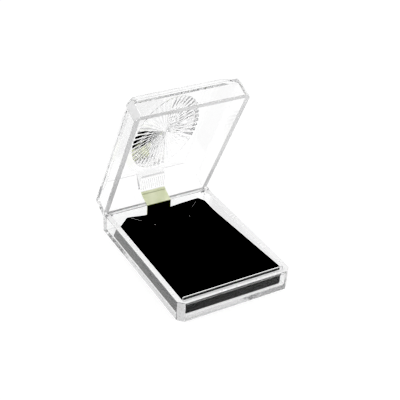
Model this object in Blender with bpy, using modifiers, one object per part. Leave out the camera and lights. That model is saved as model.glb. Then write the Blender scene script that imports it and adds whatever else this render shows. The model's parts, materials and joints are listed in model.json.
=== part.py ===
"""Hinged clear presentation box with a flocked display pad and a sprung metal leaf.

World frame: metres, +Z up, +X to the box's right, -Y to its front.  The origin is the middle of the
tray's underside.  The lid is stored open; every lid shape is first drawn closed, in the lid frame,
whose origin is the hinge axis, and then swung about that axis by OPEN_DEG.
"""
import math

import bmesh
import bpy
from mathutils import Matrix, Vector

MM = 0.001

# ---- driving dimensions, millimetres ---------------------------------------------------------
WIDTH = 66.0            # outside, along X
DEPTH = 89.5            # outside, along Y
TRAY_H = 11.4           # tray, outside height
WALL = 3.0              # side walls of tray and lid
FLOOR = 2.0             # tray floor
FRONT_CHAMFER = 3.2     # cut on the two front upright corners
RIM_GAP = 0.3           # between the closed lid's rim and the tray's rim
LID_WALL_H = 10.5       # upright part of the lid, from its rim
BEVEL_RISE = 7.5        # the lid's sloping facets: height
BEVEL_RUN = 8.1         # and how far they come in from the outside
LID_TOP = 3.0           # thickness of the raised panel
OPEN_DEG = 63.8         # lid opening stored here
AXIS_IN = 1.5           # hinge axis, in from the rear face
AXIS_DOWN = 1.2         # and down from the tray's rim

EAR_R = 2.3             # round hinge ears on the lid
EAR_T = 1.3             # their thickness along X
EAR_CLEAR = 0.3         # running clearance round an ear
PIN_R = 0.45
PIN_HOLE_R = 0.75
PIN_LEN = 4.3

LEAF_W = 15.0           # sprung metal leaf
LEAF_T = 0.4
LEAF_GAP = 0.3
LEAF_UP = 6.7           # how far it reaches up the lid's rear wall, from the rim
LEAF_FOOT = 0.5         # its lower end, above the tray floor

BLOCK_W = 15.4          # fluted block inside the lid, above the leaf
BLOCK_REAR_Z = 7.1      # its underside at the rear wall, above the rim
BLOCK_FRONT_Z = 10.5    # and at its front end
BLOCK_FRONT_Y = 31.8    # front end, from the box centre
FLUTES = 12

BURST_RX = 18.8         # oval sunburst on the lid's ceiling
BURST_RY = 31.0
BURST_X = 1.0           # its centre, from the box centre
BURST_Y = -1.0
BURST_HUB_Y = -3.0      # where its rays meet
BURST_RAYS = 44
BURST_DEEP = 0.8        # how far its ray crests stand below the ceiling
BURST_LOW = 0.3         # and its ray troughs

PAD_SIDE_GAP = 0.5      # flocked pad to the tray walls
PAD_FLOOR_GAP = 0.4
PAD_SKIN = 1.6
PAD_MID_Z = 9.1         # height of the pad's sloping top at the box centre
PAD_SLOPE = 0.053       # rise toward the front
PAD_REAR_GAP = 1.1      # room for the leaf behind the pad
PAD_TAPER = 1.9         # each side of the top runs in by this much, front to rear

LIP_UP = 1.2            # locating lip inside the tray's front wall, above the rim
LIP_T = 0.85
LIP_HALF_W = 29.4
SLIT_W = 0.5
SLITS = [((-18.6, 39.2), (-14.0, 34.2)), ((22.3, 37.4), (17.1, 33.2))]   # chain slits
PEG_HOLES = [(-9.5, 27.3), (12.0, 26.4)]                                 # earring holes
PEG_HOLE_R = 0.8

HALF_W, HALF_D = WIDTH / 2, DEPTH / 2
AXIS_Y, AXIS_Z = HALF_D - AXIS_IN, TRAY_H - AXIS_DOWN
RIM_L = AXIS_DOWN + RIM_GAP                 # lid rim above the axis, in the lid frame
OPEN = math.radians(OPEN_DEG)
SWING = Matrix.Rotation(-OPEN, 4, 'X')      # opening carries the lid's front edge up and back
BEVEL_ANGLE = math.atan2(BEVEL_RISE, BEVEL_RUN)

for old in list(bpy.data.objects):
    bpy.data.objects.remove(old, do_unlink=True)


def collection(name):
    col = bpy.data.collections.new(name)
    bpy.context.scene.collection.children.link(col)
    return col


PARTS = collection("presentation_box")
CUTTERS = collection("cutters")


def material(name, colour, rough, metal=0.0, clear=0.0, ior=1.5):
    mat = bpy.data.materials.new(name)
    mat.use_nodes = True
    bsdf = mat.node_tree.nodes["Principled BSDF"]
    bsdf.inputs["Base Color"].default_value = (*colour, 1.0)
    bsdf.inputs["Roughness"].default_value = rough
    bsdf.inputs["Metallic"].default_value = metal
    bsdf.inputs["Transmission Weight"].default_value = clear
    bsdf.inputs["IOR"].default_value = ior
    mat.diffuse_color = (*colour, 1.0)
    return mat


TRAY_CLEAR = material("tray_polystyrene", (0.93, 0.95, 0.95), 0.04, clear=1.0, ior=1.58)
LID_CLEAR = material("lid_polystyrene", (0.95, 0.96, 0.96), 0.04, clear=1.0, ior=1.58)
FLOCK = material("black_flock", (0.010, 0.010, 0.011), 0.95)
BRASSED = material("green_brass_plate", (0.66, 0.70, 0.42), 0.22, metal=1.0)
PIN_STEEL = material("pin_steel", (0.45, 0.45, 0.47), 0.30, metal=1.0)


def to_object(name, bm, col=CUTTERS, mat=None):
    bmesh.ops.recalc_face_normals(bm, faces=bm.faces)
    mesh = bpy.data.meshes.new(name)
    bm.to_mesh(mesh)
    bm.free()
    obj = bpy.data.objects.new(name, mesh)
    col.objects.link(obj)
    if mat:
        mesh.materials.append(mat)
    if col is CUTTERS:
        obj.hide_render = True
        obj.display_type = 'WIRE'
    return obj


def block(name, low, high, planes=(), col=CUTTERS, mat=None, bevel=0.0):
    """A box from low to high (mm), trimmed by planes, each (point, outward normal)."""
    bm = bmesh.new()
    bmesh.ops.create_cube(bm, size=1.0)
    for v in bm.verts:
        v.co = Vector([(lo + hi) / 2 + c * (hi - lo) for lo, hi, c in zip(low, high, v.co)]) * MM
    for point, normal in planes:
        cut = bmesh.ops.bisect_plane(bm, geom=bm.verts[:] + bm.edges[:] + bm.faces[:], dist=1e-7,
                                     plane_co=Vector(point) * MM, plane_no=Vector(normal),
                                     clear_outer=True)
        rim = [g for g in cut["geom_cut"] if isinstance(g, bmesh.types.BMEdge)]
        bmesh.ops.holes_fill(bm, edges=rim)
    if bevel:
        bmesh.ops.bevel(bm, geom=bm.edges[:], offset=bevel * MM, segments=1, affect='EDGES',
                        clamp_overlap=True)
    return to_object(name, bm, col, mat)


def rod(name, x0, x1, y, z, radius, sides, col=CUTTERS, mat=None):
    """A cylinder along X between x0 and x1 (mm)."""
    bm = bmesh.new()
    bmesh.ops.create_cone(bm, cap_ends=True, segments=sides, radius1=radius * MM,
                          radius2=radius * MM, depth=abs(x1 - x0) * MM)
    turn = Matrix.Rotation(math.radians(90), 4, 'Y')
    bm.transform(Matrix.Translation(Vector(((x0 + x1) / 2, y, z)) * MM) @ turn)
    return to_object(name, bm, col, mat)


def outline(name, points, z0, z1, col=CUTTERS, mat=None):
    """A flat outline (mm) as a filled 2D curve, extruded from z0 to z1 and made a mesh."""
    curve = bpy.data.curves.new(name, 'CURVE')
    curve.dimensions = '2D'
    curve.fill_mode = 'BOTH'
    curve.extrude = (z1 - z0) / 2 * MM
    spline = curve.splines.new('POLY')
    spline.points.add(len(points) - 1)
    for slot, (x, y) in zip(spline.points, points):
        slot.co = (x * MM, y * MM, 0, 1)
    spline.use_cyclic_u = True
    guide = bpy.data.objects.new(name + "_outline", curve)
    CUTTERS.objects.link(guide)
    bpy.context.view_layer.update()
    evaluated = guide.evaluated_get(bpy.context.evaluated_depsgraph_get())
    mesh = bpy.data.meshes.new_from_object(evaluated)
    bm = bmesh.new()
    bm.from_mesh(mesh)
    bmesh.ops.remove_doubles(bm, verts=bm.verts, dist=1e-6)
    bmesh.ops.translate(bm, verts=bm.verts, vec=(0, 0, (z0 + z1) / 2 * MM))
    bpy.data.objects.remove(guide, do_unlink=True)
    return to_object(name, bm, col, mat)


def boolean(obj, cutter, how='DIFFERENCE'):
    mod = obj.modifiers.new(how.lower() + "_" + cutter.name, 'BOOLEAN')
    mod.operation = how
    mod.object = cutter
    mod.solver = 'EXACT'


def bake(obj):
    """Replace an object's mesh by its evaluated one, and drop its modifiers."""
    bpy.context.view_layer.update()
    evaluated = obj.evaluated_get(bpy.context.evaluated_depsgraph_get())
    mesh = bpy.data.meshes.new_from_object(evaluated)
    obj.modifiers.clear()
    obj.data = mesh


def chamfered_planes(inset, z_edge=None, corners=True):
    """The two front upright corner cuts, and with z_edge the sloping facets above that height.

    The cavities keep square corners, so theirs are made without the corner planes.
    """
    planes = []
    s = math.sqrt(0.5)
    for side in (-1, 1):
        corner = (side * (HALF_W - FRONT_CHAMFER), -HALF_D, 0)
        n = Vector((side * s, -s, 0))
        planes.append((Vector(corner) - n * inset, n))
    if not corners:
        planes = []
    if z_edge is not None:
        ca, sa = math.cos(BEVEL_ANGLE), math.sin(BEVEL_ANGLE)
        slopes = [((-HALF_W, 0, z_edge), (-1, 0)), ((HALF_W, 0, z_edge), (1, 0)),
                  ((0, -HALF_D, z_edge), (0, -1)), ((0, HALF_D, z_edge), (0, 1)),
                  ((-HALF_W, FRONT_CHAMFER - HALF_D, z_edge), (-s, -s)),
                  ((HALF_W, FRONT_CHAMFER - HALF_D, z_edge), (s, -s))]
        for point, flat in slopes if corners else slopes[:4]:
            n = Vector((flat[0] * sa, flat[1] * sa, ca))
            planes.append((Vector(point) - n * inset, n))
    return planes


# ---- hinge relief along the tray's rear rim ----------------------------------------------------
# The closed lid's rim stands RIM_L above the axis.  As the lid opens, that plane rolls round the
# axis, so the tray's rear edge is rounded at AXIS_DOWN and ends in the flat the open lid rests over.
def relief_profile():
    pts = [(0.0, AXIS_DOWN + 6)]
    steps = 8
    for i in range(steps + 1):
        a = OPEN * i / steps
        pts.append((AXIS_DOWN * math.sin(a), AXIS_DOWN * math.cos(a)))
    far = 7.0
    pts.append((pts[-1][0] + far * math.cos(OPEN), pts[-1][1] - far * math.sin(OPEN)))
    pts.append((far + 6, AXIS_DOWN + 6))
    return pts


def relief_cutter():
    """The profile lies in XY as (along Y, up); it is turned upright and runs along X."""
    obj = outline("hinge_relief", relief_profile(), -HALF_W - 3, HALF_W + 3)
    stand = Matrix(((0, 0, 1, 0), (1, 0, 0, 0), (0, 1, 0, 0), (0, 0, 0, 1)))
    obj.data.transform(Matrix.Translation(Vector((0, AXIS_Y, AXIS_Z)) * MM) @ stand)
    return obj


# ---- tray ---------------------------------------------------------------------------------------
tray = block("base_tray", (-HALF_W, -HALF_D, 0), (HALF_W, HALF_D, TRAY_H), chamfered_planes(0.0),
             PARTS, TRAY_CLEAR, bevel=0.25)
well = block("tray_well", (WALL - HALF_W, WALL - HALF_D, FLOOR),
             (HALF_W - WALL, HALF_D - WALL, TRAY_H + 5))
boolean(tray, well)
lip_y = WALL - HALF_D + RIM_GAP             # the lip stands clear of the closed lid's front wall
for k, (y0, z0, z1) in enumerate(((lip_y - 0.8, TRAY_H - 2.6, TRAY_H - 0.3),
                                  (lip_y, TRAY_H - 1.5, TRAY_H + LIP_UP))):
    boolean(tray, block("front_lip_%d" % k, (-LIP_HALF_W, y0, z0), (LIP_HALF_W, lip_y + LIP_T, z1)),
            'UNION')
boolean(tray, relief_cutter())
for side, tag in ((-1, "left"), (1, "right")):
    boolean(tray, rod("ear_room_" + tag, side * (HALF_W + 2), side * (HALF_W - EAR_T - EAR_CLEAR),
                      AXIS_Y, AXIS_Z, EAR_R + EAR_CLEAR, 40))
    boolean(tray, rod("tray_pin_hole_" + tag, side * (HALF_W + 2),
                      side * (HALF_W - PIN_LEN - 0.5), AXIS_Y, AXIS_Z, PIN_HOLE_R, 20))
bake(tray)

# ---- hinge pins ---------------------------------------------------------------------------------
for side, tag in ((-1, "left"), (1, "right")):
    rod("hinge_pin_" + tag, side * (HALF_W - 0.1), side * (HALF_W - 0.1 - PIN_LEN), AXIS_Y, AXIS_Z,
        PIN_R, 20, PARTS, PIN_STEEL)

# ---- lid, drawn closed in world coordinates --------------------------------------------------------
rim_z = TRAY_H + RIM_GAP
edge_z = rim_z + LID_WALL_H
top_z = edge_z + BEVEL_RISE
lid = block("lid_shell", (-HALF_W, -HALF_D, rim_z), (HALF_W, HALF_D, top_z),
            chamfered_planes(0.0, edge_z), PARTS, LID_CLEAR, bevel=0.2)
cavity = block("lid_cavity", (WALL - HALF_W, WALL - HALF_D, rim_z - 5),
               (HALF_W - WALL, HALF_D - WALL, top_z - LID_TOP),
               chamfered_planes(WALL, edge_z, corners=False))
boolean(lid, cavity)

# fluted block: a wedge under the rear facet, its underside rising toward the front
rear_in = HALF_D - WALL
fall = Vector((0, BLOCK_FRONT_Y - rear_in, BLOCK_FRONT_Z - BLOCK_REAR_Z))
under = Vector((0, -fall.z, fall.y)).normalized()
foot = Vector((0, rear_in, rim_z + BLOCK_REAR_Z))
wedge = block("fluted_block", (-BLOCK_W / 2, BLOCK_FRONT_Y, rim_z + 4),
              (BLOCK_W / 2, rear_in + 0.8, top_z - LID_TOP + 0.6),
              [(foot, under), ((0, HALF_D - WALL / 2, edge_z - 0.6), (0, 0.68, 0.73))])
boolean(lid, wedge, 'UNION')
bake(lid)

flute_pitch = BLOCK_W / FLUTES
for i in range(FLUTES):
    x = (i + 0.5 - FLUTES / 2) * flute_pitch
    bm = bmesh.new()
    bmesh.ops.create_cone(bm, cap_ends=True, segments=12, radius1=0.45 * MM, radius2=0.45 * MM,
                          depth=(fall.length - 1.6) * MM)
    mid = (foot + fall / 2 + under * 0.15 + Vector((x, 0, 0))) * MM
    aim = Vector((0, 0, 1)).rotation_difference(fall.normalized()).to_matrix().to_4x4()
    bm.transform(Matrix.Translation(mid) @ aim)
    boolean(lid, to_object("flute_%02d" % i, bm))

# sunburst: an oval disc whose underside is a ring of rays, crest and trough in turn
ceiling = top_z - LID_TOP
bm = bmesh.new()
count = BURST_RAYS * 2
rings = []
for reach, low in ((1.0, 0.0), (1.0, 1.0), (0.16, 0.55)):
    ring = []
    for i in range(count):
        a = math.tau * i / count
        x = BURST_X + BURST_RX * math.cos(a) * reach
        y = BURST_HUB_Y + (BURST_Y + BURST_RY * math.sin(a) - BURST_HUB_Y) * reach
        drop = (BURST_DEEP if i % 2 else BURST_LOW) * low if low else -0.6
        ring.append(bm.verts.new(Vector((x, y, ceiling - drop)) * MM))
    rings.append(ring)
bm.faces.new(rings[0])
for upper, lower in zip(rings, rings[1:]):
    for i in range(count):
        j = (i + 1) % count
        bm.faces.new((upper[i], upper[j], lower[j], lower[i]))
hub = bm.verts.new(Vector((BURST_X, BURST_HUB_Y, ceiling - 0.3)) * MM)
for i in range(count):
    bm.faces.new((rings[2][i], rings[2][(i + 1) % count], hub))
boolean(lid, to_object("sunburst", bm), 'UNION')

# ears, joined to the side walls, and their pin holes
for side, tag in ((-1, "left"), (1, "right")):
    boolean(lid, rod("ear_" + tag, side * HALF_W, side * (HALF_W - EAR_T), AXIS_Y, AXIS_Z,
                     EAR_R, 40), 'UNION')
for side, tag in ((-1, "left"), (1, "right")):
    boolean(lid, rod("lid_pin_hole_" + tag, side * (HALF_W + 2), side * (HALF_W - EAR_T - 0.1),
                     AXIS_Y, AXIS_Z, PIN_HOLE_R, 20))
bake(lid)

# the lid's origin goes on the hinge axis, and the lid swings open about it
axis = Vector((0, AXIS_Y, AXIS_Z)) * MM
lid.data.transform(Matrix.Translation(-axis))
lid.location = axis
lid.rotation_euler = (-OPEN, 0, 0)


# ---- sprung leaf: a strip down the lid's rear wall, over the rims, and down the tray's rear wall ----
def opened(y, z):
    """A point in the lid frame (from the axis, closed) carried to the open pose, world mm."""
    p = SWING @ Vector((0, y, z))
    return p.y + AXIS_Y, p.z + AXIS_Z


def leaf_path():
    off = LEAF_GAP + LEAF_T / 2
    lid_y = AXIS_IN - WALL - off                 # lid frame, clear of the rear wall's inner face
    y_tray = HALF_D - WALL - off
    return [(y_tray, FLOOR + LEAF_FOOT), (y_tray, TRAY_H - 1.0), (y_tray, TRAY_H + 0.35),
            opened(lid_y, RIM_L + 0.2), opened(lid_y, RIM_L + LEAF_UP - 1.0),
            opened(lid_y - 0.5, RIM_L + LEAF_UP - 0.4)]


def rounded(path, radius, steps):
    """Round the inner corners of an open path with short arcs."""
    out = [Vector(path[0])]
    for a, b, c in zip(path, path[1:], path[2:]):
        a, b, c = Vector(a), Vector(b), Vector(c)
        r = min(radius, (a - b).length * 0.45, (c - b).length * 0.45)
        p, q = b + (a - b).normalized() * r, b + (c - b).normalized() * r
        for i in range(steps + 1):
            t = i / steps
            out.append(p * (1 - t) ** 2 + b * 2 * t * (1 - t) + q * t ** 2)
    out.append(Vector(path[-1]))
    return out


bm = bmesh.new()
line = [bm.verts.new(Vector((-LEAF_W / 2, p.x, p.y)) * MM) for p in rounded(leaf_path(), 1.2, 4)]
edges = [bm.edges.new(pair) for pair in zip(line, line[1:])]
wide = bmesh.ops.extrude_edge_only(bm, edges=edges)
bmesh.ops.translate(bm, vec=(LEAF_W * MM, 0, 0),
                    verts=[g for g in wide["geom"] if isinstance(g, bmesh.types.BMVert)])
leaf = to_object("leaf_spring", bm, PARTS, BRASSED)
solid = leaf.modifiers.new("thickness", 'SOLIDIFY')
solid.thickness = LEAF_T * MM
solid.offset = 0.0
solid.use_even_offset = True

# ---- flocked display pad: a sloping top with a skirt, open underneath ----------------------------------
px = HALF_W - WALL - PAD_SIDE_GAP
py0 = lip_y + LIP_T + RIM_GAP
py1 = HALF_D - WALL - PAD_REAR_GAP


def pad_outline(inset):
    """Rounded front corners; the rear corners are cut, the left one more than the right."""
    x, y0, y1 = px - inset, py0 + inset, py1 - inset
    pts = []
    for r, side, a0 in ((1.2, -1, 180), (3.0, 1, 270)):
        r = max(r - inset, 0.6)
        cx, cy = side * (x - r), y0 + r
        for i in range(7):
            a = math.radians(a0 + 15 * i)
            pts.append((cx + r * math.cos(a), cy + r * math.sin(a)))
    pts += [(x, y1 - 4.2), (x - 2.4, y1), (-x + 7.6, y1), (-x, y1 - 6.5)]
    return pts


def slope_plane(drop):
    n = Vector((0, PAD_SLOPE, 1)).normalized()
    return (Vector((0, 0, PAD_MID_Z)) - n * drop, n)


def trimmed(obj, plane):
    point, normal = plane
    bm = bmesh.new()
    bm.from_mesh(obj.data)
    cut = bmesh.ops.bisect_plane(bm, geom=bm.verts[:] + bm.edges[:] + bm.faces[:], dist=1e-7,
                                 plane_co=point * MM, plane_no=normal, clear_outer=True)
    rim = [g for g in cut["geom_cut"] if isinstance(g, bmesh.types.BMEdge)]
    bmesh.ops.holes_fill(bm, edges=rim)
    bmesh.ops.recalc_face_normals(bm, faces=bm.faces)
    bm.to_mesh(obj.data)
    bm.free()
    return obj


pad_low = FLOOR + PAD_FLOOR_GAP
pad = trimmed(outline("display_pad", pad_outline(0), pad_low, TRAY_H + 3, PARTS, FLOCK),
              slope_plane(0))
boolean(pad, trimmed(outline("pad_hollow", pad_outline(PAD_SKIN), pad_low - 2, TRAY_H + 1),
                     slope_plane(PAD_SKIN)))
bake(pad)
bm = bmesh.new()
bm.from_mesh(pad.data)
for v in bm.verts:                          # the skirt leans in toward the rear
    if v.co.z > (pad_low + 0.5) * MM:
        v.co.x *= 1 - PAD_TAPER / px * (v.co.y / MM - py0) / (py1 - py0)
bmesh.ops.triangulate(bm, faces=bm.faces[:])
bm.to_mesh(pad.data)
bm.free()
for k, (a, b) in enumerate(SLITS):
    a, b = Vector(a), Vector(b)
    slit = block("slit_%d" % k, (-(b - a).length / 2, -SLIT_W / 2, -8), ((b - a).length / 2,
                                                                       SLIT_W / 2, 8))
    d = b - a
    slit.data.transform(Matrix.Translation(Vector(((a.x + b.x) / 2, (a.y + b.y) / 2, 8)) * MM)
                        @ Matrix.Rotation(math.atan2(d.y, d.x), 4, 'Z'))
    boolean(pad, slit)
for k, (x, y) in enumerate(PEG_HOLES):
    bm = bmesh.new()
    bmesh.ops.create_cone(bm, cap_ends=True, segments=20, radius1=PEG_HOLE_R * MM,
                          radius2=PEG_HOLE_R * MM, depth=20 * MM)
    bm.transform(Matrix.Translation(Vector((x, y, 8)) * MM))
    boolean(pad, to_object("peg_hole_%d" % k, bm))
bake(pad)

for obj in PARTS.objects:
    if obj.name.startswith("hinge_pin"):
        obj.data.shade_smooth()
        obj.data.set_sharp_from_angle(angle=math.radians(40))
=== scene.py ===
"""Clear hinged presentation box: the visual model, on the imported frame."""
import json
import math

import bmesh
import bpy
from mathutils import Matrix, Vector


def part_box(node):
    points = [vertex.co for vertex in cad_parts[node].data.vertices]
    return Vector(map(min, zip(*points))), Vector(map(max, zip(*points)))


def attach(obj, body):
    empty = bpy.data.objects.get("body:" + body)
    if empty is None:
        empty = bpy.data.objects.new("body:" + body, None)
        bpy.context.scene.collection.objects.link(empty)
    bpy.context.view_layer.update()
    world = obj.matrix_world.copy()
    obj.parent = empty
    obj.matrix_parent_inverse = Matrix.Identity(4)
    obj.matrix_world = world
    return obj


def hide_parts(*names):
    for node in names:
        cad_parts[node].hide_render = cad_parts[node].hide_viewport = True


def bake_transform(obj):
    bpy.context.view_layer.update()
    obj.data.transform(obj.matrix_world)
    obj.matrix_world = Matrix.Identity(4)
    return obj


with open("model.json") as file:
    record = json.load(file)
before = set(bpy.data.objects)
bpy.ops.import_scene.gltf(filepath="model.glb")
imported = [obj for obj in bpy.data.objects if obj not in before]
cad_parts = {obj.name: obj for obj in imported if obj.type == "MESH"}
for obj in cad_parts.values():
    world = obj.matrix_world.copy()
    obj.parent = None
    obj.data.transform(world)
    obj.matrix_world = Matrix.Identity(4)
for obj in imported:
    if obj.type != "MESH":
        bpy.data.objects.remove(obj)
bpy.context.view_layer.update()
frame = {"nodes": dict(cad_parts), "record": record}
record = frame["record"]
scene = bpy.context.scene

# ---- sizes, from the frame ------------------------------------------------------------------
MM = 0.001
tray_high = Vector(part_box("base_tray")[1])
pad_low, pad_high = (Vector(c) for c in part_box("display_pad"))
hinge = next(j for j in record["behaviour"]["joints"] if j["name"] == "lid_hinge")
AXIS = Vector(hinge["pos_m"])
OPEN = math.radians(-hinge["range_deg"][0])
SWING = Matrix.Translation(AXIS) @ Matrix.Rotation(-OPEN, 4, 'X') @ Matrix.Translation(-AXIS)
HW, HD = tray_high.x, tray_high.y           # half the width and half the depth

AXIS_DOWN = 1.2 * MM        # the hinge axis, below the tray's rim
WALL = 3.0 * MM             # side walls of tray and lid
FLOOR = 2.0 * MM            # tray floor
CHAMFER = 3.2 * MM          # the two upright front corners
RIM_GAP = 0.3 * MM          # between the rims when closed
LID_WALL = 10.5 * MM        # the lid's upright part
RISE = 7.5 * MM             # its slopes: how far they rise,
RUN = 8.1 * MM              # and how far they lean in
TOP = 3.0 * MM              # its top panel
EAR_T = 1.3 * MM            # hinge ears
EAR_R = 2.3 * MM
CLEAR = 0.3 * MM            # round the ears, and either side of the leaf
PIN_HOLE = 0.75 * MM        # radius
PIN_DEEP = 4.8 * MM
PAST = 2 * MM               # how far a cutter reaches past a face
RIM_ROUND = 0.35 * MM       # the rear rims' inner edges
TRAY_EDGE, LID_EDGE = 0.2 * MM, 0.16 * MM           # bevels on the outer edges,
WELL_EDGE, CAVITY_EDGE = 0.12 * MM, 0.15 * MM       # and on the inner ones

LIP_HALF_W = 29.4 * MM      # locating lip inside the tray's front wall
LIP_T = 0.85 * MM
LIP_UP = 1.2 * MM           # above the tray's rim,
LIP_DOWN = 1.5 * MM         # and below it
LIP_FOOT_OUT = 0.8 * MM     # the foot that joins it to the wall,
LIP_FOOT = (2.6 * MM, 0.3 * MM)                     # and the foot's bottom and top, below the rim
LIP_EDGE = 0.12 * MM

BLOCK_W, FLUTES = 15.4 * MM, 12                     # fluted block over the leaf
BLOCK_FOOT_UP = 7.1 * MM    # its underside at the rear wall, above the lid's rim,
BLOCK_FALL = 3.4 * MM       # and how much higher it ends at the nose
NOSE_Y = 31.8 * MM
FLUTE_R = 0.5 * MM
FLUTE_SHORT = 3.4 * MM      # a flute ends this much short of the block's length
FLUTE_MID = 0.43            # its middle, as a share of that length
SLOT = (0.75 * MM, 1.1 * MM)                        # slot behind the nose: front and back,
SLOT_Z = (8.0 * MM, 11.6 * MM)                      # bottom and top, above the lid's rim

RAYS, BURST_RX, BURST_RY = 44, 18.8 * MM, 31.0 * MM                 # oval sunburst
BURST_X, BURST_Y, HUB_Y = 1.0 * MM, -1.0 * MM, -3.0 * MM            # its centre, and where rays meet
RAY_DEEP = 0.52 * MM        # from a ray's trough to its crest, at the rim
RAY_LOW = 0.12 * MM         # troughs below the ceiling
RAY_SINK = 0.6 * MM         # the sunburst's root, inside the panel
HUB_REACH = 0.1             # where the rays stop, as a share of their length

LEAF_HALF_W, LEAF_T = 7.5 * MM, 0.4 * MM
LEAF_ROUND = 0.8 * MM       # inside each bend
LEAF_FOOT = 0.5 * MM        # its lower end, above the tray's floor
LEAF_IN_LID = ((0, 0.2), (0, 4.6), (0.55, 4.95), (0, 5.3), (0.6, 6.3))    # mm, inward and up from rim

PAD_MID, PAD_SLOPE = 9.1 * MM, 0.053                # height at the middle, fall toward the rear
SKIN = 1.6 * MM             # the pad's shell
TAPER = 1.9 * MM            # the skirt leans in this far by the rear
PAD_EDGE = 0.7 * MM
FRONT_R = ((1.2 * MM, -1, 180), (3.0 * MM, 1, 270))                 # radius, side, start angle
RIGHT_CUT, LEFT_CUT = (2.4 * MM, 4.2 * MM), (7.6 * MM, 6.5 * MM)    # rear corners, along X and Y
SLITS = (((-18.6, 39.2), (-14.0, 34.2)), ((22.3, 37.4), (17.1, 33.2)))    # chain slits, mm
SLIT_HALF = 0.35 * MM
PEG_HOLES = ((-9.5, 27.3), (12.0, 26.4))            # earring holes, mm
PEG_R = 0.6 * MM
WAVE_FROM, WAVE_LONG = 24 * MM, 16.6 * MM           # the sheet lifts from here, over this length
WAVE = [(-30, 0.3), (-19.6, 0.65), (-14, -0.2), (-8, -1.0), (0, -0.5),
        (7.3, 0.4), (14.8, 1.0), (24, 1.4), (30, 1.2)]              # mm, its lift at the rear, along X
GRID, GRID_X, GRID_Y = 14, 4.2 * MM, 1.25 * MM      # cuts each way across the waved part

RELIEF_STEPS = 10           # hinge relief: the arc's steps,
RELIEF_RUN = 7 * MM         # the flat run behind the arc,
RELIEF_UP, RELIEF_OUT = 6 * MM, 12 * MM             # and how far the cutter reaches up and back
LONG_EDGE = 12 * MM         # soften() rounds only edges longer than this

TRAY_H = AXIS.z + AXIS_DOWN
RIM_Z = TRAY_H + RIM_GAP
EDGE_Z = RIM_Z + LID_WALL
TOP_Z = EDGE_Z + RISE
CEILING = TOP_Z - TOP
BEVEL = math.atan2(RISE, RUN)
REAR_IN = HD - WALL         # the rear walls' inner face


# ---- camera, from the front left and above ----------------------------------------------------------
AZIMUTH, ELEVATION, ROLL = -31.29, 32.76, 3.26      # degrees
AIM, AWAY = (0.401, 0.606, 0.1), 8.05               # in box widths
LENS, SENSOR = 81.9, 36.0                           # mm


def make_camera():
    az, el, roll = math.radians(AZIMUTH), math.radians(ELEVATION), math.radians(ROLL)
    unit = 2 * HW
    target = Vector(AIM) * unit
    back = Vector((math.sin(az) * math.cos(el), -math.cos(az) * math.cos(el), math.sin(el)))
    right = Vector((0, 0, 1)).cross(back).normalized()
    up = back.cross(right)
    r = right * math.cos(roll) + up * math.sin(roll)
    u = -right * math.sin(roll) + up * math.cos(roll)
    cam = bpy.data.cameras.new("camera")
    cam.sensor_width = SENSOR
    cam.lens = LENS
    cam.clip_start, cam.clip_end = 0.01, 20.0
    obj = bpy.data.objects.new("camera", cam)
    scene.collection.objects.link(obj)
    pos = target + back * AWAY * unit
    obj.matrix_world = Matrix.Translation(pos) @ Matrix((r, u, back)).transposed().to_4x4()
    scene.camera = obj


make_camera()


# ---- mesh helpers ---------------------------------------------------------------------------------
def new_object(name, bm):
    bmesh.ops.recalc_face_normals(bm, faces=bm.faces)
    mesh = bpy.data.meshes.new(name)
    bm.to_mesh(mesh)
    bm.free()
    obj = bpy.data.objects.new(name, mesh)
    scene.collection.objects.link(obj)
    return obj


def trim(bm, point, normal):
    """Cut off what lies outside the plane, and close the mesh again."""
    cut = bmesh.ops.bisect_plane(bm, geom=bm.verts[:] + bm.edges[:] + bm.faces[:], dist=1e-8,
                                 plane_co=point, plane_no=normal, clear_outer=True)
    rim = [g for g in cut["geom_cut"] if isinstance(g, bmesh.types.BMEdge)]
    bmesh.ops.holes_fill(bm, edges=rim)


def block(name, low, high, planes=(), bevel=0.0):
    """A box, trimmed by each (point, outward normal), with its edges bevelled."""
    bm = bmesh.new()
    bmesh.ops.create_cube(bm, size=1.0)
    for v in bm.verts:
        v.co = Vector([(lo + hi) / 2 + c * (hi - lo) for lo, hi, c in zip(low, high, v.co)])
    for point, normal in planes:
        trim(bm, Vector(point), Vector(normal))
    if bevel:
        bmesh.ops.bevel(bm, geom=bm.edges[:], offset=bevel, segments=2, profile=0.5,
                        affect='EDGES', clamp_overlap=True)
    return new_object(name, bm)


def rod(name, x0, x1, y, z, radius, sides=48):
    """A round bar along X."""
    bm = bmesh.new()
    bmesh.ops.create_cone(bm, cap_ends=True, segments=sides, radius1=radius, radius2=radius,
                          depth=abs(x1 - x0))
    bm.transform(Matrix.Translation(Vector(((x0 + x1) / 2, y, z)))
                 @ Matrix.Rotation(math.radians(90), 4, 'Y'))
    return new_object(name, bm)


def prism(name, points, a0, a1, axis='Z'):
    """A flat outline swept from a0 to a1: along Z, or, for an outline in (Y, Z), along X."""
    bm = bmesh.new()
    place = (lambda p, a: (p[0], p[1], a)) if axis == 'Z' else (lambda p, a: (a, p[0], p[1]))
    ring = [bm.verts.new(place(p, a0)) for p in points]
    face = bm.faces.new(ring)
    out = bmesh.ops.extrude_face_region(bm, geom=[face])
    shift = (0, 0, a1 - a0) if axis == 'Z' else (a1 - a0, 0, 0)
    bmesh.ops.translate(bm, vec=shift,
                        verts=[g for g in out["geom"] if isinstance(g, bmesh.types.BMVert)])
    return new_object(name, bm)


def apply(obj):
    """Turn the object's modifiers into its mesh."""
    bpy.context.view_layer.update()
    ev = obj.evaluated_get(bpy.context.evaluated_depsgraph_get())
    mesh = bpy.data.meshes.new_from_object(ev)
    obj.modifiers.clear()
    obj.data = mesh


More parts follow.
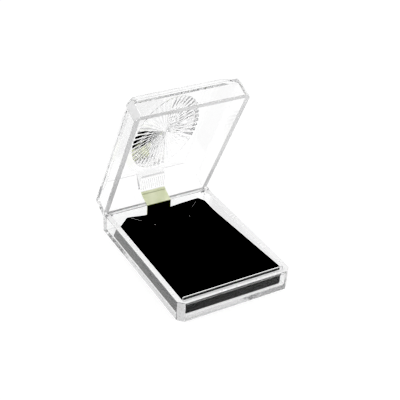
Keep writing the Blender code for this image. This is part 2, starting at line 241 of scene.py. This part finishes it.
def boolean(obj, *cutters, how='DIFFERENCE'):
    """Cut or join the cutters, and remove them."""
    for cutter in cutters:
        mod = obj.modifiers.new("b", 'BOOLEAN')
        mod.operation, mod.object, mod.solver = how, cutter, 'EXACT'
    apply(obj)
    for cutter in cutters:
        bpy.data.objects.remove(cutter, do_unlink=True)


def corner_planes(inset, z_edge=None, corners=True):
    """The cut front corners and, above z_edge, the lid's slopes, moved in by inset."""
    s = math.sqrt(0.5)
    planes = []
    for side in (-1, 1) if corners else ():
        n = Vector((side * s, -s, 0))
        planes.append((Vector((side * (HW - CHAMFER), -HD, 0)) - n * inset, n))
    if z_edge is not None:
        ca, sa = math.cos(BEVEL), math.sin(BEVEL)
        slopes = [((-HW, 0), (-1, 0)), ((HW, 0), (1, 0)), ((0, -HD), (0, -1)), ((0, HD), (0, 1)),
                  ((-HW, CHAMFER - HD), (-s, -s)), ((HW, CHAMFER - HD), (s, -s))]
        for p, f in slopes if corners else slopes[:4]:
            n = Vector((f[0] * sa, f[1] * sa, ca))
            planes.append((Vector((*p, z_edge)) - n * inset, n))
    return planes


def soften(obj, width, wanted):
    """Round the long edges along X that wanted(y, z) picks out."""
    bm = bmesh.new()
    bm.from_mesh(obj.data)
    edges = [e for e in bm.edges if abs(e.verts[0].co.x - e.verts[1].co.x) > LONG_EDGE
             and all(wanted(v.co.y, v.co.z) for v in e.verts)]
    done = bmesh.ops.bevel(bm, geom=edges, offset=width, segments=4, profile=0.5, affect='EDGES',
                           clamp_overlap=True)
    for f in done["faces"]:
        f.smooth = True
    bm.to_mesh(obj.data)
    bm.free()


def satin_faces(obj, level, way):
    """Give the satin slot to the cut front corners and to the rim at level that faces way."""
    for face in obj.data.polygons:
        n, c = face.normal, face.center
        corner = abs(n.z) < 0.02 and n.y < -0.6 and abs(n.x) > 0.6 and c.y < -HD + CHAMFER + MM
        if corner or (n.z * way > 0.98 and abs(c.z - level) < 0.02 * MM):
            face.material_index = 1


def finish_piece(obj, mat, body, *nodes, smooth=None):
    """Give a piece its materials, shading, body and the CAD nodes that it replaces."""
    slots = [face.material_index for face in obj.data.polygons]
    obj.data.materials.clear()
    for m in (mat if isinstance(mat, (list, tuple)) else (mat,)):
        obj.data.materials.append(m)
    obj.data.polygons.foreach_set("material_index", slots)
    if smooth is not None:
        obj.data.shade_smooth()
        obj.data.set_sharp_from_angle(angle=math.radians(smooth))
    if body:
        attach(obj, body)
    if nodes:
        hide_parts(*nodes)


# ---- materials ------------------------------------------------------------------------------------
CLEAR_TINT = (0.988, 0.988, 0.988)
POLYSTYRENE_IOR = 1.59
DEPTH_TINT, DEPTH_DENSITY = (0.80, 0.80, 0.805, 1), 16.0            # what thick plastic takes out


def nodes_of(mat):
    mat.use_nodes = True
    nt = mat.node_tree
    bsdf = nt.nodes["Principled BSDF"]
    return nt, nt.nodes, nt.links, bsdf


def noise(nt, vector, scale, detail=3.0, rough=0.5):
    n = nt.nodes.new("ShaderNodeTexNoise")
    n.inputs["Scale"].default_value = scale
    n.inputs["Detail"].default_value = detail
    n.inputs["Roughness"].default_value = rough
    nt.links.new(vector, n.inputs["Vector"])
    return n.outputs["Fac"]


def ranged(nt, value, low, high, from_low=0.0, from_high=1.0):
    m = nt.nodes.new("ShaderNodeMapRange")
    for key, v in (("From Min", from_low), ("From Max", from_high), ("To Min", low), ("To Max", high)):
        m.inputs[key].default_value = v
    nt.links.new(value, m.inputs["Value"])
    return m.outputs["Result"]


def clear_plastic(name, tint, rough=(0.0, 0.045), strength=0.12, clear=1.0):
    """Clear polystyrene: a little uneven gloss, faint mould ripple and hairline scratches."""
    mat = bpy.data.materials.new(name)
    nt, nodes, links, bsdf = nodes_of(mat)
    bsdf.inputs["Base Color"].default_value = (*tint, 1)
    bsdf.inputs["Transmission Weight"].default_value = clear
    bsdf.inputs["IOR"].default_value = POLYSTYRENE_IOR
    bsdf.inputs["Specular Tint"].default_value = (0.35, 0.35, 0.35, 1)
    coord = nodes.new("ShaderNodeTexCoord").outputs["Object"]
    links.new(ranged(nt, noise(nt, coord, 90.0, 4.0, 0.6), *rough, 0.42, 0.75),
              bsdf.inputs["Roughness"])
    stretch = nodes.new("ShaderNodeMapping")
    stretch.inputs["Scale"].default_value = (1.0, 0.12, 0.3)
    stretch.inputs["Rotation"].default_value = (0.2, 0.1, 0.5)
    links.new(coord, stretch.inputs["Vector"])
    scratch = ranged(nt, noise(nt, stretch.outputs["Vector"], 1500.0, 2.0), 0.0, 1.0, 0.66, 0.72)
    ripple = noise(nt, coord, 55.0, 1.0)
    mix = nodes.new("ShaderNodeMath")
    mix.operation = 'MULTIPLY_ADD'
    mix.inputs[1].default_value = 0.02
    links.new(scratch, mix.inputs[0])
    links.new(ripple, mix.inputs[2])
    bump = nodes.new("ShaderNodeBump")
    bump.inputs["Strength"].default_value = strength
    bump.inputs["Distance"].default_value = 0.0001
    links.new(mix.outputs[0], bump.inputs["Height"])
    links.new(bump.outputs["Normal"], bsdf.inputs["Normal"])
    path = nodes.new("ShaderNodeLightPath")
    through = nodes.new("ShaderNodeBsdfTransparent")
    through.inputs["Color"].default_value = (0.93, 0.935, 0.935, 1)
    both = nodes.new("ShaderNodeMixShader")
    links.new(path.outputs["Is Shadow Ray"], both.inputs["Fac"])
    links.new(bsdf.outputs["BSDF"], both.inputs[1])
    links.new(through.outputs["BSDF"], both.inputs[2])
    links.new(both.outputs["Shader"], nodes["Material Output"].inputs["Surface"])
    depth = nodes.new("ShaderNodeVolumeAbsorption")
    depth.inputs["Color"].default_value = DEPTH_TINT
    depth.inputs["Density"].default_value = DEPTH_DENSITY
    links.new(depth.outputs["Volume"], nodes["Material Output"].inputs["Volume"])
    return mat


def flock():
    """Black flock: short dense fibres, slightly brushed in patches."""
    mat = bpy.data.materials.new("black_flock")
    nt, nodes, links, bsdf = nodes_of(mat)
    coord = nodes.new("ShaderNodeTexCoord").outputs["Object"]
    fibre = noise(nt, coord, 5200.0, 4.0, 0.7)
    nap = noise(nt, coord, 60.0, 2.0)
    ramp = nodes.new("ShaderNodeValToRGB")
    ramp.color_ramp.elements[0].position, ramp.color_ramp.elements[1].position = 0.35, 0.75
    ramp.color_ramp.elements[0].color = (0.0003, 0.0003, 0.0004, 1)
    ramp.color_ramp.elements[1].color = (0.0020, 0.0020, 0.0022, 1)
    blend = nodes.new("ShaderNodeMath")
    blend.operation = 'MULTIPLY_ADD'
    blend.inputs[1].default_value = 0.6
    links.new(fibre, blend.inputs[0])
    links.new(ranged(nt, nap, 0.0, 0.4), blend.inputs[2])
    links.new(blend.outputs[0], ramp.inputs["Fac"])
    links.new(ramp.outputs["Color"], bsdf.inputs["Base Color"])
    bsdf.inputs["Roughness"].default_value = 0.95
    bsdf.inputs["Specular IOR Level"].default_value = 0.0
    bsdf.inputs["Sheen Weight"].default_value = 0.004
    bsdf.inputs["Sheen Roughness"].default_value = 0.4
    bump = nodes.new("ShaderNodeBump")
    bump.inputs["Strength"].default_value = 0.5
    bump.inputs["Distance"].default_value = 0.0002
    links.new(fibre, bump.inputs["Height"])
    links.new(bump.outputs["Normal"], bsdf.inputs["Normal"])
    return mat


def pad_core():
    """The pad's grey core, seen where the slits and holes part the flock."""
    mat = bpy.data.materials.new("pad_core")
    nt, nodes, links, bsdf = nodes_of(mat)
    coord = nodes.new("ShaderNodeTexCoord").outputs["Object"]
    ramp = nodes.new("ShaderNodeValToRGB")
    ramp.color_ramp.elements[0].color = (0.3, 0.3, 0.3, 1)
    ramp.color_ramp.elements[1].color = (0.55, 0.55, 0.55, 1)
    links.new(noise(nt, coord, 2500.0, 3.0), ramp.inputs["Fac"])
    links.new(ramp.outputs["Color"], bsdf.inputs["Base Color"])
    bsdf.inputs["Roughness"].default_value = 0.85
    return mat


def metal(name, dark, light, rough, across):
    """Plated strip or wire, with fine rolling lines along one direction."""
    mat = bpy.data.materials.new(name)
    nt, nodes, links, bsdf = nodes_of(mat)
    bsdf.inputs["Metallic"].default_value = 1.0
    coord = nodes.new("ShaderNodeTexCoord").outputs["Object"]
    lines = nodes.new("ShaderNodeMapping")
    lines.inputs["Scale"].default_value = across
    links.new(coord, lines.inputs["Vector"])
    grain = noise(nt, lines.outputs["Vector"], 900.0, 3.0, 0.6)
    tone = noise(nt, coord, 160.0, 2.0)
    ramp = nodes.new("ShaderNodeValToRGB")
    ramp.color_ramp.elements[0].position, ramp.color_ramp.elements[1].position = 0.3, 0.7
    ramp.color_ramp.elements[0].color = (*dark, 1)
    ramp.color_ramp.elements[1].color = (*light, 1)
    links.new(tone, ramp.inputs["Fac"])
    links.new(ramp.outputs["Color"], bsdf.inputs["Base Color"])
    links.new(ranged(nt, grain, rough * 0.7, rough * 1.3), bsdf.inputs["Roughness"])
    bump = nodes.new("ShaderNodeBump")
    bump.inputs["Strength"].default_value = 0.15
    bump.inputs["Distance"].default_value = 0.00002
    links.new(grain, bump.inputs["Height"])
    links.new(bump.outputs["Normal"], bsdf.inputs["Normal"])
    return mat


TRAY_MAT = clear_plastic("tray_clear", CLEAR_TINT)
LID_MAT = clear_plastic("lid_clear", CLEAR_TINT)
TRAY_SATIN = clear_plastic("tray_satin", CLEAR_TINT, rough=(0.22, 0.38), strength=0.3, clear=0.45)
LID_SATIN = clear_plastic("lid_satin", CLEAR_TINT, rough=(0.14, 0.26), strength=0.3, clear=0.38)
FLOCK_MAT = flock()
CORE_MAT = pad_core()
LEAF_MAT = metal("green_brass", (0.67, 0.71, 0.48), (0.80, 0.83, 0.62), 0.40, (1.0, 0.06, 0.06))
PIN_MAT = metal("pin_steel", (0.34, 0.34, 0.36), (0.5, 0.5, 0.52), 0.25, (0.1, 1.0, 1.0))


# ---- tray -------------------------------------------------------------------------------------------
def hinge_relief():
    """A cutter for the rear rim: an arc about the hinge axis, then flat, so that the lid can swing."""
    outline = [(AXIS.y, TRAY_H + RELIEF_UP)]
    for i in range(RELIEF_STEPS + 1):
        a = OPEN * i / RELIEF_STEPS
        outline.append((AXIS.y + AXIS_DOWN * math.sin(a), AXIS.z + AXIS_DOWN * math.cos(a)))
    y, z = outline[-1]
    outline.append((y + RELIEF_RUN * math.cos(OPEN), z - RELIEF_RUN * math.sin(OPEN)))
    outline.append((HD + RELIEF_OUT, TRAY_H + RELIEF_UP))
    return prism("relief", outline, -HW - 3 * MM, HW + 3 * MM, axis='X')


def add_locating_lip(obj):
    """A low lip that the lid's front wall closes behind, on a foot that joins it to the wall."""
    lip_y = WALL - HD + RIM_GAP
    foot_down, foot_top = LIP_FOOT
    for y0, z0, z1 in ((lip_y - LIP_FOOT_OUT, TRAY_H - foot_down, TRAY_H - foot_top),
                       (lip_y, TRAY_H - LIP_DOWN, TRAY_H + LIP_UP)):
        low, high = (-LIP_HALF_W, y0, z0), (LIP_HALF_W, lip_y + LIP_T, z1)
        boolean(obj, block("lip", low, high, bevel=LIP_EDGE), how='UNION')


def smooth_rolled_rim(obj):
    """Only the arc of the rear rim is smooth; every other face is flat."""
    for face in obj.data.polygons:
        arm = face.center - AXIS
        on_arc = math.hypot(arm.y, arm.z) < AXIS_DOWN + 0.1 * MM
        if abs(face.normal.x) < 0.01 and on_arc and face.normal.z > 0.3:
            face.use_smooth = True


def make_tray():
    tray = block("tray", (-HW, -HD, 0), (HW, HD, TRAY_H), corner_planes(0.0), bevel=TRAY_EDGE)
    well = block("well", (WALL - HW, WALL - HD, FLOOR), (HW - WALL, HD - WALL, TRAY_H + 5 * MM),
                 bevel=WELL_EDGE)
    cuts = [well, hinge_relief()]
    for side in (-1, 1):
        cuts.append(rod("ear_room", side * (HW + PAST), side * (HW - EAR_T - CLEAR), AXIS.y, AXIS.z,
                        EAR_R + CLEAR))
        cuts.append(rod("pin_hole", side * (HW + PAST), side * (HW - PIN_DEEP), AXIS.y, AXIS.z,
                        PIN_HOLE, 32))
    boolean(tray, *cuts)
    add_locating_lip(tray)
    soften(tray, RIM_ROUND,
           lambda y, z: abs(y - REAR_IN) < 0.2 * MM and z > TRAY_H - 0.3 * MM)
    satin_faces(tray, TRAY_H, 1)
    finish_piece(tray, (TRAY_MAT, TRAY_SATIN), "tray", "base_tray")
    smooth_rolled_rim(tray)


make_tray()


# ---- lid, drawn closed and swung open ---------------------------------------------------------------
def add_fluted_block(lid):
    """The wedge over the leaf: its underside climbs to a chamfered nose, and carries flutes."""
    foot = Vector((0, REAR_IN, RIM_Z + BLOCK_FOOT_UP))
    fall = Vector((0, NOSE_Y - REAR_IN, BLOCK_FALL))
    under = Vector((0, -fall.z, fall.y)).normalized()
    rear_slope = ((0, HD - WALL / 2, EDGE_Z - 0.6 * MM), (0, 0.68, 0.73))
    nose_slope = ((0, NOSE_Y + 0.6 * MM, RIM_Z + 10.5 * MM), (0, -0.7, -0.7))
    wedge = block("wedge", (-BLOCK_W / 2, NOSE_Y, RIM_Z + 4 * MM),
                  (BLOCK_W / 2, REAR_IN + 0.8 * MM, CEILING + 0.6 * MM),
                  [(foot, under), rear_slope, nose_slope])
    boolean(lid, wedge, how='UNION')
    cuts = []
    aim = Vector((0, 0, 1)).rotation_difference(fall.normalized()).to_matrix().to_4x4()
    for i in range(FLUTES):
        bm = bmesh.new()
        bmesh.ops.create_cone(bm, cap_ends=True, segments=20, radius1=FLUTE_R, radius2=FLUTE_R,
                              depth=fall.length - FLUTE_SHORT)
        mid = foot + fall * FLUTE_MID + under * 0.1 * MM
        mid.x = (i + 0.5 - FLUTES / 2) * BLOCK_W / FLUTES
        bm.transform(Matrix.Translation(mid) @ aim)
        cuts.append(new_object("flute", bm))
    half = BLOCK_W / 2 - 0.5 * MM
    cuts.append(block("slot", (-half, NOSE_Y + SLOT[0], RIM_Z + SLOT_Z[0]),
                      (half, NOSE_Y + SLOT[1], RIM_Z + SLOT_Z[1])))
    boolean(lid, *cuts)


def add_sunburst(lid):
    """Flat-faceted rays under the ceiling, deepest at the oval's edge and fading to the hub."""
    count = RAYS * 2
    bm = bmesh.new()
    rings = []
    for reach, root in ((1.0, True), (1.0, False), (HUB_REACH, False)):
        ring = []
        for i in range(count):
            a = math.tau * i / count
            x = BURST_X + BURST_RX * math.cos(a) * reach
            y = HUB_Y + (BURST_Y + BURST_RY * math.sin(a) - HUB_Y) * reach
            z = CEILING + RAY_SINK if root else CEILING - RAY_LOW - (i % 2) * RAY_DEEP * reach
            ring.append(bm.verts.new((x, y, z)))
        rings.append(ring)
    bm.faces.new(rings[0])
    for outer, inner in zip(rings, rings[1:]):
        for i in range(count):
            j = (i + 1) % count
            bm.faces.new((outer[i], outer[j], inner[j], inner[i]))
    hub = bm.verts.new((BURST_X, HUB_Y, CEILING - RAY_LOW))
    for i in range(count):
        bm.faces.new((rings[-1][i], rings[-1][(i + 1) % count], hub))
    boolean(lid, new_object("burst", bm), how='UNION')


def make_lid():
    lid = block("lid", (-HW, -HD, RIM_Z), (HW, HD, TOP_Z), corner_planes(0.0, EDGE_Z),
                bevel=LID_EDGE)
    cavity = block("cavity", (WALL - HW, WALL - HD, RIM_Z - 5 * MM), (HW - WALL, HD - WALL, CEILING),
                   corner_planes(WALL, EDGE_Z, corners=False), bevel=CAVITY_EDGE)
    boolean(lid, cavity)
    add_fluted_block(lid)
    add_sunburst(lid)
    for side in (-1, 1):
        ear = rod("ear", side * HW, side * (HW - EAR_T), AXIS.y, AXIS.z, EAR_R)
        boolean(lid, ear, how='UNION')
    boolean(lid, *[rod("ear_hole", side * (HW + PAST), side * (HW - EAR_T - 0.1 * MM), AXIS.y,
                       AXIS.z, PIN_HOLE, 32) for side in (-1, 1)])
    soften(lid, RIM_ROUND, lambda y, z: abs(y - REAR_IN) < 0.2 * MM and z < RIM_Z + 0.3 * MM)
    satin_faces(lid, RIM_Z, -1)
    lid.data.transform(SWING)
    finish_piece(lid, (LID_MAT, LID_SATIN), "lid", "lid_shell")


make_lid()


# ---- sprung leaf ------------------------------------------------------------------------------------
def opened(y, z):
    """A point beside the hinge axis on the closed lid, taken to the open lid, as (y, z)."""
    p = SWING @ Vector((0, AXIS.y + y, AXIS.z + z))
    return Vector((p.y, p.z))


def rounded(path, radius):
    """The path with each corner rounded by a short curve."""
    line = [path[0]]
    for a, b, c in zip(path, path[1:], path[2:]):
        r = min(radius, (a - b).length * 0.4, (c - b).length * 0.4)
        p, q = b + (a - b).normalized() * r, b + (c - b).normalized() * r
        for i in range(7):
            t = i / 6
            line.append(p * (1 - t) ** 2 + b * 2 * t * (1 - t) + q * t ** 2)
    line.append(path[-1])
    return line


def make_leaf():
    off = CLEAR + LEAF_T / 2
    y_lid = HD - AXIS.y - WALL - off
    y_tray = HD - WALL - off
    rim = RIM_Z - AXIS.z
    path = [Vector((y_tray, z)) for z in (FLOOR + LEAF_FOOT, TRAY_H - 1.0 * MM, TRAY_H + 0.35 * MM)]
    path += [opened(y_lid - y * MM, rim + z * MM) for y, z in LEAF_IN_LID]
    bm = bmesh.new()
    row = [bm.verts.new((-LEAF_HALF_W, p.x, p.y)) for p in rounded(path, LEAF_ROUND)]
    edges = [bm.edges.new(pair) for pair in zip(row, row[1:])]
    wide = bmesh.ops.extrude_edge_only(bm, edges=edges)
    bmesh.ops.translate(bm, vec=(2 * LEAF_HALF_W, 0, 0),
                        verts=[g for g in wide["geom"] if isinstance(g, bmesh.types.BMVert)])
    obj = new_object("sprung_leaf", bm)
    mod = obj.modifiers.new("thick", 'SOLIDIFY')
    mod.thickness, mod.offset, mod.use_even_offset = LEAF_T, 0.0, True
    apply(obj)
    finish_piece(obj, LEAF_MAT, None, "leaf_spring", smooth=35)
    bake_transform(obj)


make_leaf()


# ---- flocked pad ------------------------------------------------------------------------------------
def pad_outline(inset):
    """The pad from above: rounded at the front, the two rear corners cut unevenly."""
    x, y0, y1 = pad_high.x - inset, pad_low.y + inset, pad_high.y - inset
    pts = []
    for r, side, a0 in FRONT_R:
        r = max(r - inset, 0.6 * MM)
        cx, cy = side * (x - r), y0 + r
        for i in range(13):
            a = math.radians(a0 + 7.5 * i)
            pts.append((cx + r * math.cos(a), cy + r * math.sin(a)))
    (rx, ry), (lx, ly) = RIGHT_CUT, LEFT_CUT
    pts += [(x, y1 - ry), (x - rx, y1), (-x + lx, y1), (-x, y1 - ly)]
    return pts


def wave(v):
    """The flocked sheet lifts and dips toward its rear edge, most at the right corner."""
    t = min(max((v.y - WAVE_FROM) / WAVE_LONG, 0.0), 1.0)
    x = v.x / MM
    for (x0, h0), (x1, h1) in zip(WAVE, WAVE[1:]):
        if x0 <= x <= x1:
            s = (x - x0) / (x1 - x0)
            s = s * s * (3 - 2 * s)
            return (h0 + (h1 - h0) * s) * MM * t * t * (3 - 2 * t)
    return 0.0


def lean(y):
    """How far the skirt leans in at y, as a factor on x."""
    return 1 - TAPER / pad_high.x * (y - pad_low.y) / (pad_high.y - pad_low.y)


def sloped(obj, drop):
    """Cut the top to the pad's slope, drop below its surface."""
    n = Vector((0, PAD_SLOPE, 1)).normalized()
    bm = bmesh.new()
    bm.from_mesh(obj.data)
    trim(bm, Vector((0, 0, PAD_MID)) - n * drop, n)
    bmesh.ops.recalc_face_normals(bm, faces=bm.faces)
    bm.to_mesh(obj.data)
    bm.free()
    return obj


def slit(a, b):
    """A cutter for a narrow slit from a to b."""
    a, b = Vector(a) * MM, Vector(b) * MM
    d = b - a
    cut = block("slit", (-d.length / 2, -SLIT_HALF, -8 * MM), (d.length / 2, SLIT_HALF, 8 * MM))
    cut.data.transform(Matrix.Translation(Vector(((a.x + b.x) / 2, (a.y + b.y) / 2, 8 * MM)))
                       @ Matrix.Rotation(math.atan2(d.y, d.x), 4, 'Z'))
    return cut


def peg_hole(x, y):
    bm = bmesh.new()
    bmesh.ops.create_cone(bm, cap_ends=True, segments=28, radius1=PEG_R, radius2=PEG_R,
                          depth=20 * MM)
    bm.transform(Matrix.Translation(Vector((x * MM, y * MM, 8 * MM))))
    return new_object("peg", bm)


def pad_shell():
    """The outside of the pad: sloped, rounded at the top edge, leaning in, its rear edge waved."""
    obj = sloped(prism("pad", pad_outline(0), pad_low.z, TRAY_H + 3 * MM), 0)
    bm = bmesh.new()
    bm.from_mesh(obj.data)
    top = max(bm.faces, key=lambda f: f.normal.z * f.calc_area())
    bmesh.ops.bevel(bm, geom=list(top.edges), offset=PAD_EDGE, segments=4, profile=0.5,
                    affect='EDGES', clamp_overlap=True)
    for i in range(GRID):
        across = (0, WAVE_FROM + GRID_Y * i, 0), (0, 1, 0)
        along = ((i - (GRID - 1) / 2) * GRID_X, 0, 0), (1, 0, 0)
        for co, no in (across, along):
            bmesh.ops.bisect_plane(bm, geom=bm.verts[:] + bm.edges[:] + bm.faces[:], dist=1e-7,
                                   plane_co=co, plane_no=no)
    for v in bm.verts:
        if v.co.z > pad_low.z + 0.5 * MM:
            v.co.x *= lean(v.co.y)
            v.co.z += wave(v.co)
    bmesh.ops.triangulate(bm, faces=[f for f in bm.faces if f.normal.z > 0.2])
    bm.to_mesh(obj.data)
    bm.free()
    return obj


def pad_hollow():
    hollow = sloped(prism("hollow", pad_outline(SKIN), pad_low.z - 2 * MM, TRAY_H + MM), SKIN)
    for v in hollow.data.vertices:
        if v.co.z > pad_low.z:
            v.co.x *= lean(v.co.y)
    return hollow


def make_pad():
    obj = pad_shell()
    obj.data.materials.append(FLOCK_MAT)
    obj.data.materials.append(CORE_MAT)
    cuts = [pad_hollow()] + [slit(a, b) for a, b in SLITS] + [peg_hole(x, y) for x, y in PEG_HOLES]
    for cut in cuts:
        cut.data.materials.append(CORE_MAT)
        mod = obj.modifiers.new("b", 'BOOLEAN')
        mod.operation, mod.object, mod.solver = 'DIFFERENCE', cut, 'EXACT'
        mod.material_mode = 'TRANSFER'
    apply(obj)
    for cut in cuts:
        bpy.data.objects.remove(cut, do_unlink=True)
    obj.data.shade_smooth()
    obj.data.set_sharp_from_angle(angle=math.radians(40))
    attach(obj, "pad")
    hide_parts("display_pad")


make_pad()

# ---- hinge pins: the frame's own, with a detailed material ------------------------------------------
for name in ("hinge_pin_left", "hinge_pin_right"):
    node = frame["nodes"][name]
    for slot in node.material_slots:
        slot.material = PIN_MAT

# ---- floor, sky and light ---------------------------------------------------------------------------
FLOOR_HALF = 6.0            # m
FLOOR_DOWN = 0.1 * MM       # below the tray, so that the two faces don't coincide
FLOOR_SHADE, FLOOR_GLOW = 0.30, 0.75
HORIZON, HORIZON_AT = (0.34, 0.34, 0.35, 1), 0.02
OVERHEAD, OVERHEAD_AT = (1.0, 1.0, 1.0, 1), 0.55
BLACK_LEVEL = 0.042
BOUNCES = 40                # a ray through the lid's edges crosses many walls


def make_floor():
    """A pale floor that glows a little, so that it stays even and nearly white."""
    bm = bmesh.new()
    bmesh.ops.create_grid(bm, x_segments=1, y_segments=1, size=FLOOR_HALF)
    floor = new_object("floor", bm)
    mat = bpy.data.materials.new("floor")
    bsdf = nodes_of(mat)[3]
    bsdf.inputs["Base Color"].default_value = (FLOOR_SHADE, FLOOR_SHADE, FLOOR_SHADE, 1)
    bsdf.inputs["Roughness"].default_value = 0.9
    bsdf.inputs["Specular IOR Level"].default_value = 0.0
    bsdf.inputs["Emission Color"].default_value = (1, 1, 1, 1)
    bsdf.inputs["Emission Strength"].default_value = FLOOR_GLOW
    floor.data.materials.append(mat)
    floor.location.z = -FLOOR_DOWN


def make_sky():
    """A studio sky, grey at the horizon and white overhead."""
    world = bpy.data.worlds.new("studio")
    scene.world = world
    world.use_nodes = True
    nt = world.node_tree
    coord = nt.nodes.new("ShaderNodeTexCoord")
    split = nt.nodes.new("ShaderNodeSeparateXYZ")
    ramp = nt.nodes.new("ShaderNodeValToRGB")
    nt.links.new(coord.outputs["Generated"], split.inputs["Vector"])
    nt.links.new(split.outputs["Z"], ramp.inputs["Fac"])
    low, high = ramp.color_ramp.elements
    low.position, low.color = HORIZON_AT, HORIZON
    high.position, high.color = OVERHEAD_AT, OVERHEAD
    nt.links.new(ramp.outputs["Color"], nt.nodes["Background"].inputs["Color"])
    nt.nodes["Background"].inputs["Strength"].default_value = 1.0


def softbox(name, loc, size, power):
    """A square area light aimed at the middle of the box."""
    light = bpy.data.lights.new(name, 'AREA')
    light.shape, light.size, light.size_y = 'RECTANGLE', size, size
    light.energy = power
    obj = bpy.data.objects.new(name, light)
    scene.collection.objects.link(obj)
    obj.location = loc
    aim = Vector((0, 0, 0.02)) - Vector(loc)
    obj.rotation_euler = aim.to_track_quat('-Z', 'Y').to_euler()


make_floor()
make_sky()
softbox("key", (-0.5, -0.3, 0.8), 0.5, 1.5)
softbox("fill", (0.7, 0.1, 0.6), 0.4, 0.6)
view = scene.view_settings
view.view_transform = 'Standard'
view.use_curve_mapping = True
view.curve_mapping.black_level = (BLACK_LEVEL, BLACK_LEVEL, BLACK_LEVEL)
view.curve_mapping.update()
for limit in ("max_bounces", "transmission_bounces", "glossy_bounces"):
    setattr(scene.cycles, limit, BOUNCES)
